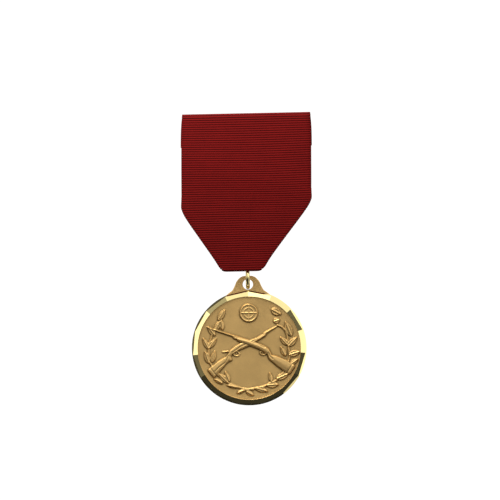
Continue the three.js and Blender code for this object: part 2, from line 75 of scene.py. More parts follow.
def node(tree, kind, inputs=None, **settings):
    made = tree.nodes.new(kind)
    for key, value in settings.items():
        setattr(made, key, value)
    for key, value in (inputs or {}).items():
        if isinstance(value, bpy.types.NodeSocket):
            tree.links.new(value, made.inputs[key])
        else:
            made.inputs[key].default_value = value
    return made


def maths(tree, operation, *values):
    return node(tree, "ShaderNodeMath", dict(enumerate(values)), operation=operation).outputs[0]


def scaled(tree, vector, factor):
    made = node(tree, "ShaderNodeVectorMath", {0: vector, "Scale": factor}, operation="SCALE")
    return made.outputs["Vector"]


def ranged(tree, value, source=(0, 1), target=(0, 1), curve="LINEAR"):
    """A value carried from one range to another."""
    ends = {"From Min": source[0], "From Max": source[1], "To Min": target[0], "To Max": target[1]}
    made = node(tree, "ShaderNodeMapRange", {"Value": value, **ends}, interpolation_type=curve)
    return made.outputs["Result"]


def noise(tree, where, scale, detail, roughness=0.5):
    made = node(tree, "ShaderNodeTexNoise", {"Vector": where, "Scale": scale, "Detail": detail,
                                             "Roughness": roughness})
    return made.outputs["Fac"]


def blended(tree, share, first, second, kind="FLOAT"):
    made = node(tree, "ShaderNodeMix", {"Factor": share, "A": first, "B": second}, data_type=kind)
    return made.outputs["Result"]


def tinted(tree, share, dark, bright):
    return blended(tree, share, (*dark, 1), (*bright, 1), "RGBA")


def principled(name, **sockets):
    material = bpy.data.materials.new(name)
    material.use_nodes = True
    shader = material.node_tree.nodes["Principled BSDF"]
    for socket, value in sockets.items():
        shader.inputs[socket.replace("_", " ")].default_value = value
    return material, material.node_tree, shader


def bumped(tree, shader, height, strength, depth):
    bump = node(tree, "ShaderNodeBump", {"Height": height, "Strength": strength, "Distance": depth})
    tree.links.new(bump.outputs["Normal"], shader.inputs["Normal"])


def pale_floor():
    side, near, far, depth = 1.2, -0.05, 1.5, -0.45
    points = [(-side, near, depth), (side, near, depth), (side, far, depth), (-side, far, depth)]
    material, tree, shader = principled("floor_paint", Roughness=0.9, Specular_IOR_Level=0.1)
    grain = noise(tree, node(tree, "ShaderNodeTexCoord").outputs["Object"], 90.0, 4.0)
    tint = tinted(tree, grain, (0.8, 0.8, 0.79), (0.86, 0.86, 0.85))
    tree.links.new(tint, shader.inputs["Base Color"])
    return mesh_object("pale_floor", points, [(0, 1, 2, 3)], material)


pale_floor()

FRAME_WIDTH = 134.6  # millimetres that the camera sees across, at the medal
CAMERA_DISTANCE = 0.9
VIEW_CENTRE = (0.77, 5.78)
CAMERA_ROLL = math.radians(-1.2)
SENSOR_WIDTH = 36

camera_data = bpy.data.cameras.new("camera")
camera_data.sensor_width = SENSOR_WIDTH
camera_data.lens = SENSOR_WIDTH * CAMERA_DISTANCE / (FRAME_WIDTH * MM)
camera_data.clip_end = 10
camera = linked("camera", camera_data)
aim = place([VIEW_CENTRE[0], 0, VIEW_CENTRE[1]])
facing = Matrix.Rotation(math.pi / 2, 4, "X") @ Matrix.Rotation(CAMERA_ROLL, 4, "Z")
camera.matrix_world = Matrix.Translation((aim[0], aim[1] - CAMERA_DISTANCE, aim[2])) @ facing
bpy.context.scene.camera = camera


def soft_box(name, where, size, power):
    """A rectangular lamp that faces the medal, placed in metres from it."""
    data = bpy.data.lights.new(name, "AREA")
    data.shape = "RECTANGLE"
    data.size, data.size_y = size
    data.energy = power
    lamp = linked(name, data)
    aim_at = Vector(place([0, 0, 0]))
    lamp.location = aim_at + Vector(where)
    lamp.rotation_euler = (aim_at - lamp.location).to_track_quat("-Z", "Y").to_euler()


soft_box("key", (-0.05, -0.09, 0.145), (0.08, 0.07), 0.31)
soft_box("fill", (0.9, -0.7, 0.25), (0.25, 0.5), 0.8)
soft_box("back_light", (0.2, 0.8, 0.6), (0.6, 0.4), 2)

world = bpy.data.worlds.new("room")
world.use_nodes = True
bpy.context.scene.world = world
bpy.context.scene.view_settings.view_transform = "Standard"
room = world.node_tree
direction = node(room, "ShaderNodeTexCoord").outputs["Generated"]
height = node(room, "ShaderNodeSeparateXYZ", {"Vector": direction}).outputs["Z"]
brightness = ranged(room, height, (-0.4, 0.5), (0.05, 1.35), "SMOOTHSTEP")
# Dark furniture and bright windows, each as a direction, a reach and how bright it is. The stretch
# makes them wider than they are deep.
stretch = Vector((1, 4, 1))
stretched = node(room, "ShaderNodeVectorMath", {0: direction, 1: stretch}, operation="MULTIPLY")
for toward, reach, level in (
    ((-0.75, -0.28, 0.6), 0.75, 0.1),
    ((0.0, -0.28, -0.96), 1.0, 0.03),
    ((0.96, -0.28, -0.08), 0.78, 1.7),
    ((0.50, -0.81, 0.31), 0.16, 0.16),
    ((0.58, -0.81, 0.07), 0.14, 1.6),
    ((0.56, -0.81, -0.16), 0.14, 0.08),
    ((-0.57, -0.81, 0.14), 0.22, 1.9),
    ((0.12, -0.81, 0.57), 0.14, 2.4),
    ((-0.34, -0.81, 0.47), 0.14, 0.55),
):
    spot = Vector(toward).normalized() * stretch
    away = node(room, "ShaderNodeVectorMath", {0: stretched.outputs["Vector"], 1: spot},
                operation="DISTANCE").outputs["Value"]
    in_spot = ranged(room, away, (reach, reach * 0.7), (0, 1), "SMOOTHSTEP")
    brightness = blended(room, in_spot, brightness, level)
BACKDROP_LEVEL = 1.1  # what the camera itself sees behind the medal
seen = node(room, "ShaderNodeLightPath").outputs["Is Camera Ray"]
strength = blended(room, seen, brightness, BACKDROP_LEVEL)
room.links.new(strength, room.nodes["Background"].inputs["Strength"])
room.nodes["Background"].inputs["Color"].default_value = (0.98, 0.98, 0.97, 1)

# ---------------- ribbon
# One length of 35 mm grosgrain: woven over thick weft cords, so it is ribbed across. It comes over
# the stiffener bar, hangs as the front panel, and its lower corners and foot are turned back behind.
RIBBON = {
    "thickness": 0.4,
    "rib_pitch": 0.603,
    "rib_rise": 0.05,
    "samples_per_rib": 6,
    "half_width": 17.5,
    "half_width_top": 17.2,
    "foot": (5.8, 3.1),
    "shoulder": (16.9, 19.1),
    "foot_flare": (0.9, 1.6),
    "shoulder_softness": 0.7,
    "foot_rounding": 1.6,
    "half_width_tail": 17.7,
    "narrows_from": 31,  # the height above which the strip draws in
    "bow": 0.9,
    "tongue_width": 9.4,
    "tongue_ease": 0.42,
}
ribbon_height = (ribbon_high[2] - ribbon_low[2]) / MM
fold_depth = (ribbon_high[1] - ribbon_low[1]) / MM
layer = 0.45  # from one layer of cloth to the next
front_y = layer / 2
top_radius = fold_depth / 2 - layer / 2
top_axis_z = ribbon_height - fold_depth / 2
tail_length = 8.0
foot_radius = layer
foot_axis_z = foot_radius + layer / 2
tongue_length = 5.3
RING_SLIT = (0.26, 0.8, 1.9)  # the slit that the jump ring hangs through: middle, half width, height
SLIT_STARTS = math.radians(58)  # where it begins in the turn at the foot

legs = np.cumsum([0, tail_length, math.pi * top_radius, top_axis_z - foot_axis_z,
                  math.pi * foot_radius, tongue_length])


def centre_line(along):
    """Where the strip's middle line is: y, z, and which leg of the path it is on."""
    leg = np.clip(np.searchsorted(legs, along, side="right") - 1, 0, 4)
    into = along - legs[leg]
    turn_top = into / top_radius
    turn_foot = into / foot_radius
    y = np.choose(leg, [
        fold_depth - layer / 2 + 0 * into,
        fold_depth / 2 + top_radius * np.cos(turn_top),
        front_y + 0 * into,
        front_y + foot_radius * (1 - np.cos(turn_foot)),
        front_y + 2 * foot_radius + 0 * into,
    ])
    z = np.choose(leg, [
        top_axis_z - tail_length + into,
        top_axis_z + top_radius * np.sin(turn_top),
        top_axis_z - into,
        foot_axis_z - foot_radius * np.sin(turn_foot),
        foot_axis_z + into,
    ])
    return y, z, leg


def fold_line(z, side):
    """The panel's reach to one side at a height, and its slope: the corner is folded along this
    line. The hand fold came out a little higher on the right, and it flares above the foot."""
    foot, shoulder, flare = (RIBBON[key][side] for key in ("foot", "shoulder", "foot_flare"))

    def reach(at):
        slope = (RIBBON["half_width"] - foot) / shoulder
        softness = RIBBON["shoulder_softness"]
        spare = np.clip((RIBBON["half_width"] - foot - slope * at) / softness, -30, 60)
        swell = flare * np.exp(-at / 1.4) - 0.7 * flare * np.exp(-(at / 1.1) ** 2)
        return RIBBON["half_width"] - softness * np.log1p(np.exp(spare)) + swell

    return reach(z), (reach(z + 0.05) - reach(z - 0.05)) / 0.1


def selvage(leg, z):
    """Half the strip's own width: it draws in a little towards the top fold."""
    start = RIBBON["narrows_from"]
    towards_top = np.clip((z - start) / (ribbon_height - start), 0, 1) ** 2
    top, tail, panel = (RIBBON["half_width" + part] for part in ("_top", "_tail", ""))
    behind = tail + (top - tail) * towards_top ** 2
    return np.where(leg <= 1, behind, panel + (top - panel) * towards_top)


def ribbon_sheet():
    """The strip's middle surface as a grid: its points, where each lies on the flat strip, and
    which cells are cloth."""
    rows = np.arange(0, legs[-1], RIBBON["rib_pitch"] / RIBBON["samples_per_rib"])
    y0, z0, leg = centre_line(rows)
    inner = np.linspace(-1, 1, 27)
    fold_steps, flap_steps = 6, 6
    outer_count = fold_steps + flap_steps
    columns = 2 * outer_count + len(inner)
    points = np.zeros((len(rows), columns, 3))
    flat = np.zeros((len(rows), columns, 2))
    fold_radius = layer / 2
    edge = selvage(leg, z0)
    on_panel = leg == 2
    bend_share = np.clip((rows - legs[3]) / foot_radius, 0, math.pi / 2)
    reaches = []
    for side in (0, 1):
        half, slope = fold_line(z0, side)
        rounding = RIBBON["foot_rounding"] * (1 - np.cos(bend_share))
        tongue = fold_line(foot_axis_z, side)[0] + RIBBON["tongue_ease"] - rounding
        half = np.where(on_panel, np.minimum(half, edge), np.where(leg > 2, tongue, edge))
        reaches.append((half, slope, np.where(on_panel, np.maximum(edge - half, 0), 0)))
    for k, share in enumerate(inner):
        column = outer_count + k
        x = reaches[0][0] * min(share, 0) + reaches[1][0] * max(share, 0)
        points[:, column] = np.stack([x, y0, z0], 1)
        flat[:, column] = np.stack([x, rows], 1)
    for side, (half, slope, spare) in zip((-1, 1), reaches):
        normal_x = 1 / np.sqrt(1 + slope ** 2)
        normal_z = -slope * normal_x
        reach = spare * normal_x
        around = np.minimum(reach, math.pi * fold_radius)
        for k in range(1, outer_count + 1):
            bend = min(k / fold_steps, 1)
            rest = max(k - fold_steps, 0) / flap_steps
            out = around * bend + (reach - around) * rest
            angle = np.minimum(out / fold_radius, math.pi)
            across = fold_radius * np.sin(angle) - np.maximum(out - math.pi * fold_radius, 0)
            shift = out / np.maximum(normal_x, 1e-6)
            x = half + shift - out * normal_x + across * normal_x
            z = z0 - out * normal_z + across * normal_z
            y = y0 + fold_radius * (1 - np.cos(angle))
            column = outer_count - k if side < 0 else outer_count + len(inner) - 1 + k
            points[:, column] = np.stack([side * x, y, z], 1)
            flat[:, column] = np.stack([side * (half + shift), rows], 1)
    cells = np.ones((len(rows) - 1, columns - 1), bool)
    width = np.linalg.norm(np.diff(flat, axis=1), axis=2)
    cells &= (width[:-1] > 0.004) & (width[1:] > 0.004)
    outside = np.ones(columns - 1, bool)
    outside[outer_count:outer_count + len(inner) - 1] = False
    cells[np.ix_(~(on_panel[:-1] & on_panel[1:]), outside)] = False
    middle_x = (points[:-1, :-1, 0] + points[1:, 1:, 0]) / 2
    middle_z = (points[:-1, :-1, 2] + points[1:, 1:, 2]) / 2
    in_slit = (np.abs(middle_x - RING_SLIT[0]) < RING_SLIT[1]) & (middle_z < RING_SLIT[2])
    past_fold = rows[:-1] > legs[3] + foot_radius * SLIT_STARTS
    cells &= ~(in_slit & past_fold[:, None])
    return points, flat, cells


def on_front(y):
    """1 on the front panel, falling to 0 at the layers behind it."""
    return np.clip((1.2 - y) / 0.6, 0, 1)


def free(z):
    """How free the cloth is at a height: held at the bar and at the foot, free between them."""
    return np.sin(np.clip(z / top_axis_z, 0, 1) * math.pi)


def bowed(y, z):
    """The panel stands forward a little between the bar and the foot, with the corners behind it."""
    return y - RIBBON["bow"] * on_front(y) * free(z)


def skewed(x, z):
    return x + 0.1 + 0.018 * (z - 20)


def hang_softly(points):
    """Cloth is never quite flat: it bows, it ripples, and its ribs wander and sag."""
    x, y, z = points[..., 0], points[..., 1], points[..., 2]
    share = x / RIBBON["half_width"]
    ripple = 0.1 * np.cos(share * math.pi * 0.9 + 0.4) + 0.05 * np.sin(z * 0.42 + x * 0.11)
    wander = 0.1 * np.sin(share * math.pi * 0.8 + z * 0.13) - 0.15 * (1 - share ** 2)
    hung_y = bowed(y, z) + on_front(y) * free(z) * ripple
    return np.stack([skewed(x, z), hung_y, z + free(z) * wander], -1)


def grid_faces(cells):
    """For a grid of points numbered row by row: the four corners of each kept cell, and the two
    ends of each open edge round them."""
    rows, columns = np.array(cells.shape) + 1
    index = np.arange(rows * columns).reshape(rows, columns)
    a, b, c, d = index[:-1, :-1], index[:-1, 1:], index[1:, 1:], index[1:, :-1]
    padded = np.pad(cells, 1)
    edges = []
    for near, first, second in ((padded[:-2, 1:-1], a, b), (padded[2:, 1:-1], c, d),
                                (padded[1:-1, :-2], d, a), (padded[1:-1, 2:], b, c)):
        open_edge = cells & ~near
        edges.append([first[open_edge], second[open_edge]])
    return [corner[cells] for corner in (a, b, c, d)], np.concatenate(edges, axis=1)


def thick_ribbon(points, flat, cells):
    """Both faces of the cloth with their ribs, and the edges between them."""
    down = np.gradient(points, axis=0)
    right = np.gradient(points, axis=1)
    normal = np.cross(down, right)
    length = np.linalg.norm(normal, axis=2, keepdims=True)
    normal = normal / np.maximum(length, 1e-9)
    weak = length[..., 0] < 1e-9
    normal[weak] = 0
    phase = (flat[..., 1] / RIBBON["rib_pitch"]) % 1
    rib = np.sqrt(np.maximum(1 - (2 * phase - 1) ** 2, 0)) - 1
    half_thick = RIBBON["thickness"] / 2 + RIBBON["rib_rise"] * rib
    outer = points + normal * half_thick[..., None]
    inner = points - normal * half_thick[..., None]
    count = phase.size
    (a, b, c, d), (p, q) = grid_faces(cells)
    faces = np.concatenate([np.stack([a, d, c, b], 1), np.stack([a, b, c, d], 1) + count,
                            np.stack([p, q, q + count, p + count], 1)])
    used, compact = np.unique(faces, return_inverse=True)
    both = np.concatenate([outer.reshape(-1, 3), inner.reshape(-1, 3)])[used]
    flat_both = np.concatenate([flat.reshape(-1, 2)] * 2)[used]
    return both, compact.reshape(faces.shape), flat_both


WARP_PITCH = 0.16  # millimetres from one fine warp thread to the next


def grosgrain(name, dark, bright):
    """Weft cords wrapped by fine warp, with painted light: a painted highlight along each rib's crest and
    painted shade in its groove.
    """
    material, tree, shader = principled(
        name, Roughness=0.8, Sheen_Weight=0.03, Sheen_Roughness=0.35, Specular_IOR_Level=0.05)
    shader.inputs["Sheen Tint"].default_value = (0.9, 0.12, 0.12, 1)
    weave = node(tree, "ShaderNodeUVMap", uv_map="weave").outputs["UV"]
    axes = node(tree, "ShaderNodeSeparateXYZ", {"Vector": weave})
    rib_turn = maths(tree, "MULTIPLY", axes.outputs["Y"], 1 / RIBBON["rib_pitch"])
    away = maths(tree, "ABSOLUTE", maths(tree, "ADD", maths(tree, "FRACT", rib_turn), -0.5))
    crest = ranged(tree, away, (0.16, 0.48), (1.0, 0.0), "SMOOTHSTEP")
    warp_turn = maths(tree, "MULTIPLY", axes.outputs["X"], 2 * math.pi / WARP_PITCH)
    half_turn = maths(tree, "FLOOR", rib_turn)
    warp = maths(tree, "SINE", maths(tree, "MULTIPLY_ADD", half_turn, math.pi, warp_turn))
    blotch = noise(tree, weave, 0.16, 3.0, 0.6)
    fuzz = noise(tree, weave, 6.0, 3.0, 0.7)
    # Painted highlight on each rib's crest and painted shade in its groove, mixed with the weave's fuzz
    # and warp.
    painted_rib_light_and_weave = maths(tree, "MULTIPLY_ADD", fuzz, 0.3, maths(tree, "MULTIPLY_ADD", warp, 0.08, crest))
    colour = tinted(tree, ranged(tree, painted_rib_light_and_weave, (0.1, 1.2)), dark, bright)
    toned = scaled(tree, colour, ranged(tree, blotch, (0, 1), (0.82, 1.12)))
    tree.links.new(toned, shader.inputs["Base Color"])
    bumped(tree, shader, maths(tree, "MULTIPLY_ADD", warp, 0.25, fuzz), 0.35, 0.00004)
    return material


red_grosgrain = grosgrain("red_grosgrain", (0.006, 0.0001, 0.0001), (0.17, 0.0056, 0.005))

points, flat, cells = ribbon_sheet()
points = hang_softly(points)
vertices, faces, weave_at = thick_ribbon(points, flat, cells)
ribbon = mesh_object("ribbon_cloth", place(vertices), faces, red_grosgrain)
weave_layer = ribbon.data.uv_layers.new(name="weave")
corner_vertices = np.zeros(len(ribbon.data.loops), int)
ribbon.data.loops.foreach_get("vertex_index", corner_vertices)
weave_layer.data.foreach_set("uv", weave_at[corner_vertices].ravel())
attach(ribbon, "drape")
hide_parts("ribbon")

# ---------------- stiffener bar
# A flat strip of nickelled steel slipped into the top fold, so that the ribbon hangs square. It is
# sheared from sheet and tumbled, which breaks its edges.
def plated(name, base, roughness, grain_scale, grain_depth, cast=0.08, stretch=(1, 1, 1)):
    """Bare or plated metal: its tone and gloss drift, and fine grain follows how it was worked."""
    material, tree, shader = principled(name, Metallic=1.0)
    where = node(tree, "ShaderNodeTexCoord").outputs["Object"]
    worked = node(tree, "ShaderNodeVectorMath", {0: where, 1: stretch}, operation="MULTIPLY")
    fine = noise(tree, worked.outputs["Vector"], grain_scale, 4.0, 0.65)
    broad = noise(tree, where, 180.0, 3.0)
    tone = ranged(tree, broad, (0.3, 0.7), (1 - cast, 1 + cast))
    speck = ranged(tree, fine, (0.3, 0.7), (1 - cast, 1 + cast / 2))
    colour = scaled(tree, base, maths(tree, "MULTIPLY", tone, speck))
    rough = ranged(tree, fine, (0.25, 0.75), (roughness * 0.85, roughness * 1.2))
    tree.links.new(colour, shader.inputs["Base Color"])
    tree.links.new(rough, shader.inputs["Roughness"])
    bumped(tree, shader, fine, 0.5, grain_depth)
    return material


nickel = plated("nickel", (0.62, 0.60, 0.56), 0.24, 1500.0, 0.000004, stretch=(0.15, 1, 1))
brass = plated("brass", (0.62, 0.46, 0.21), 0.3, 1600.0, 0.0000012, cast=0.05)
mirror_gilt = plated("mirror_gilt", (0.80, 0.66, 0.30), 0.07, 900.0, 0.0000015, cast=0.03)
# The axes that an outline's two measures and its thickness run along.
FACING = {"front": (0, 2, 1), "side": (1, 2, 0), "flat": (0, 1, 2)}


def circle(radius, centre=(0, 0), sides=40):
    turns = [i / sides * 2 * math.pi for i in range(sides)]
    return [(centre[0] + radius * math.cos(a), centre[1] + radius * math.sin(a)) for a in turns]


def rounded(u0, u1, v0, v1, radius):
    steps = 6
    corners = ((u1 - radius, v1 - radius, 0), (u0 + radius, v1 - radius, 1),
               (u0 + radius, v0 + radius, 2), (u1 - radius, v0 + radius, 3))
    return [(u + radius * math.cos((quarter + k / steps) * math.pi / 2),
             v + radius * math.sin((quarter + k / steps) * math.pi / 2))
            for u, v, quarter in corners for k in range(steps + 1)]


def punched(outlines, w0, w1, facing, soften, segments=2):
    """A plate cut to outlines, the first its edge and the others its holes, with broken edges."""
    made = bmesh.new()
    for line in outlines:
        ring = []
        for u, v in line:
            spot = [0, 0, 0]
            for value, axis in zip((u, v, w0), FACING[facing]):
                spot[axis] = value
            ring.append(made.verts.new(spot))
        for a, b in zip(ring, ring[1:] + ring[:1]):
            if (a.co - b.co).length > 1e-5:
                made.edges.new((a, b))
    bmesh.ops.remove_doubles(made, verts=made.verts, dist=0.001)
    bmesh.ops.triangle_fill(made, use_beauty=True, edges=made.edges[:])
    grown = bmesh.ops.extrude_face_region(made, geom=made.faces[:])
    moved = [v for v in grown["geom"] if isinstance(v, bmesh.types.BMVert)]
    along = [0, 0, 0]
    along[FACING[facing][2]] = w1 - w0
    bmesh.ops.translate(made, verts=moved, vec=along)
    bmesh.ops.recalc_face_normals(made, faces=made.faces)
    if soften:
        sharp = [e for e in made.edges if len(e.link_faces) == 2 and e.calc_face_angle(0) > 1.0]
        bmesh.ops.bevel(made, geom=sharp, offset=soften, segments=segments, profile=0.5,
                        affect="EDGES")
    return made


def joined(name, parts, materials, at=(0, 0, 0)):
    """Closed shells, in millimetres, as one object; each is (shell, material number, smooth)."""
    made = bmesh.new()
    for part, number, smooth in parts:
        for face in part.faces:
            face.material_index = number(face) if callable(number) else number
            face.smooth = smooth
        holder = bpy.data.meshes.new("part")
        part.to_mesh(holder)
        made.from_mesh(holder)
        part.free()
        bpy.data.meshes.remove(holder)
    for vertex in made.verts:
        vertex.co = place(np.array(vertex.co) + np.array(at))
    mesh = bpy.data.meshes.new(name)
    made.to_mesh(mesh)
    made.free()
    for material in materials:
        mesh.materials.append(material)
    return linked(name, mesh)


def in_millimetres(name):
    """The box of a named piece, measured from the same corner as place()."""
    low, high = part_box(name)
    return (np.array(low) - origin) / MM, (np.array(high) - origin) / MM


bar_low, bar_high = in_millimetres("stiffener_bar")
bar_outline = rounded(bar_low[0], bar_high[0], bar_low[2], bar_high[2], 0.4)
bar = joined("stiffener_bar_steel", [
    (punched([bar_outline], bar_low[1], bar_high[1], "front", 0.08), 0, False)], [nickel])
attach(bar, "drape")
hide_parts("stiffener_bar")

# ---------------- pin base
# A pressed brass strip, punched with two sewing holes at each end. The two ears that hold the
# pin's rivet are bent up from it.
PIN = {
    "wire": 0.45,
    "hinge_x": -11.0,
    "catch_x": 10.0,
    "standoff": 2.0,
    "ear": (0.7, 1.2),
    "ear_half_width": 1.1,
    "stitch_x": 13.5,
    "stitch_hole": 0.55,
    "stitch_half": 1.2,
    "eye": (0.6, 1.2),
    "tip": 12.9,
    "point_length": 3.2,
}
base_low, base_high = in_millimetres("pin_base")
pin_centre = (0, in_millimetres("pin_stem")[0][1] + PIN["eye"][1], (base_low[2] + base_high[2]) / 2)
STRIP_THICKNESS = 0.5
RIVET_HOLE = 0.52
strip_back = -PIN["standoff"]
strip_front = strip_back - STRIP_THICKNESS
strip_outline = rounded(base_low[0], base_high[0], -2.3, 2.3, 0.9)
sewing_holes = [circle(PIN["stitch_hole"], (x, z), 20) for x in (-PIN["stitch_x"], PIN["stitch_x"])
                for z in (-PIN["stitch_half"], PIN["stitch_half"])]
ear_half = PIN["ear_half_width"]
ear_outline = [(PIN["hinge_x"] + u, v) for u, v in circle(ear_half, sides=32)[:17]]
ear_outline += [(PIN["hinge_x"] + u, strip_back - 0.3) for u in (-ear_half, ear_half)]
rivet_hole = circle(RIVET_HOLE, (PIN["hinge_x"], 0), 24)
ears = [punched([ear_outline, rivet_hole], side * PIN["ear"][0], side * PIN["ear"][1], "flat", 0.09)
        for side in (-1, 1)]
base = joined("pin_base_brass", [
    (punched([strip_outline, *sewing_holes], strip_front, strip_back, "front", 0.1), 0, False),
    *[(ear, 0, False) for ear in ears]], [brass], pin_centre)
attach(base, "drape")
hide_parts("pin_base")


# ---------------- hinge rivet
# A soft steel rivet through the ears and the pin's eye, its ends headed over into low domes.
def skinned(made, loops, merge):
    """Faces between the loops, the last joined to the first, with coincident points merged."""
    for here, after in zip(loops, loops[1:] + loops[:1]):
        for k in range(len(here) - 1):
            made.faces.new([here[k], after[k], after[k + 1], here[k + 1]])
    bmesh.ops.remove_doubles(made, verts=made.verts, dist=merge)
    bmesh.ops.recalc_face_normals(made, faces=made.faces)
    return made


head = [(0.45, 1.2), (0.62, 1.21), (0.74, 1.3), (0.75, 1.38), (0.66, 1.5), (0.45, 1.61),
        (0.2, 1.65), (0, 1.66)]
profile = [(max(r, 1e-5), h) for r, h in [(r, -h) for r, h in reversed(head)] + head]
rivet_body = bmesh.new()
rivet_rings = [[rivet_body.verts.new((r * u, r * v, h)) for r, h in profile]
               for u, v in circle(1, sides=32)]
rivet = joined("hinge_rivet_headed", [(skinned(rivet_body, rivet_rings, 0.0001), 0, True)], [nickel],
               np.array(pin_centre) + [PIN["hinge_x"], 0, 0])
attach(rivet, "drape")
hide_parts("hinge_rivet")


# ---------------- pin stem
# Hard nickelled wire, its root flattened and pierced for the rivet and its other end ground to a
# long point.
def tube(path, radii, sides):
    """Round wire along a path, closed at both ends, with a radius for each point."""
    path = [Vector(p) for p in path]
    made = bmesh.new()
    rings = []
    across = (path[1] - path[0]).normalized().orthogonal().normalized()
    for i, (point, radius) in enumerate(zip(path, radii)):
        tangent = (path[min(i + 1, len(path) - 1)] - path[max(i - 1, 0)]).normalized()
        across = (across - tangent * across.dot(tangent)).normalized()
        aside = tangent.cross(across)
        rings.append([made.verts.new(point + radius * (u * across + v * aside))
                      for u, v in circle(1, sides=sides)])
    for here, after in zip(rings, rings[1:]):
        for k in range(sides):
            made.faces.new([here[k], here[(k + 1) % sides], after[(k + 1) % sides], after[k]])
    made.faces.new(list(reversed(rings[0])))
    made.faces.new(rings[-1])
    bmesh.ops.recalc_face_normals(made, faces=made.faces)
    return made


shoulder_x = PIN["tip"] - PIN["point_length"]
stations = [(PIN["hinge_x"] + 0.8, 0.42), (PIN["hinge_x"] + 1.6, PIN["wire"])]
stations += [(x, PIN["wire"]) for x in np.linspace(PIN["hinge_x"] + 2.5, shoulder_x, 9)]
stations += [(shoulder_x + PIN["point_length"] * share, max(PIN["wire"] * (1 - share ** 1.6), 0.03))
             for share in (k / 12 for k in range(1, 13))]
eye = punched([circle(PIN["eye"][1]), circle(PIN["eye"][0], sides=28)], -0.5, 0.5, "flat", 0.12)
for vertex in eye.verts:
    vertex.co.x += PIN["hinge_x"]
wire = tube([(x, 0, 0) for x, _ in stations], [radius for _, radius in stations], 20)
pin = joined("pin_stem_wire", [(eye, 0, False), (wire, 0, True)], [nickel], pin_centre)
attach(pin, "pin")
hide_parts("pin_stem")


# ---------------- catch housing
# A brass cheek bent round the turning barrel and soldered to the strip, open at the back so that
# the pin can drop in.
def arc(radius, start, end, steps=24):
    turns = [math.radians(start + (end - start) * k / steps) for k in range(steps + 1)]
    return [(radius * math.cos(a), radius * math.sin(a)) for a in turns]


def slotted_ring(outer, bore, half_gap, steps):
    """A ring with a slot in it: the angle of the slot's outer edge, and the line of the bore."""
    lip, throat = (math.degrees(math.asin(half_gap / radius)) for radius in (outer, bore))
    return lip, arc(bore, 360 - throat, throat, steps)


HOUSING = {"outer": 1.9, "bore": 1.5, "mouth": 0.75, "half_length": 1.3}
lip, bore_line = slotted_ring(HOUSING["outer"], HOUSING["bore"], HOUSING["mouth"], 36)
solder_x = strip_back + 0.04
housing_outline = (arc(HOUSING["outer"], lip, 90)
                   + [(solder_x, HOUSING["outer"]), (solder_x, -HOUSING["outer"])]
                   + arc(HOUSING["outer"], 270, 360 - lip) + bore_line)
catch_centre = np.array(pin_centre) + [PIN["catch_x"], 0, 0]
cheek = punched([housing_outline], -HOUSING["half_length"], HOUSING["half_length"], "side", 0.07)
housing = joined("catch_housing_brass", [(cheek, 0, False)], [brass], catch_centre)
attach(housing, "drape")
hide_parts("catch_housing")


# ---------------- catch barrel
# The slotted sleeve that turns over the pin: a collar at each end keeps it in its housing, and a
# small thumb tab turns it.
def slotted(outer, bore, half_gap, x0, x1, soften):
    lip, bore_line = slotted_ring(outer, bore, half_gap, 32)
    return punched([arc(outer, lip, 360 - lip, 40) + bore_line], x0, x1, "side", soften)


barrel_end, collar = 1.8, 1.4  # half the barrel's length, and where its collars begin
slot_half = 0.65
barrel = joined("catch_barrel_brass", [(part, 0, False) for part in (
    slotted(1.3, 0.75, slot_half, -barrel_end, barrel_end, 0.05),
    slotted(1.75, 0.76, slot_half, -barrel_end, -collar, 0.08),
    slotted(1.75, 0.76, slot_half, collar, barrel_end, 0.08),
    punched([rounded(-0.65, 0.65, 1.0, 3.1, 0.3)], collar, barrel_end, "side", 0.08),
)], [brass], catch_centre)
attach(barrel, "catch")
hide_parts("catch_barrel")


# ---------------- sewing thread
# Two-ply dark red cotton: it holds the strip through its four holes, whips the bail's legs down
# and tacks the raw edges of the turned-back corners. Each run is a bent path that is twisted up.
def dyed_thread():
    material, tree, shader = principled(
        "thread_cotton", Roughness=0.8, Specular_IOR_Level=0.2, Sheen_Weight=0.15)
    shader.inputs["Sheen Tint"].default_value = (0.7, 0.2, 0.2, 1)
    fibre = noise(tree, node(tree, "ShaderNodeTexCoord").outputs["Object"], 9000.0, 4.0, 0.7)
    tint = tinted(tree, fibre, (0.04, 0.002, 0.003), (0.2, 0.012, 0.014))
    tree.links.new(tint, shader.inputs["Base Color"])
    bumped(tree, shader, fibre, 0.5, 0.00002)
    return material


STRAND_RADIUS = 0.095
TURNS_PER_METRE = 900
THREAD_STEP = 0.00007  # metres from one ring of a strand's points to the next


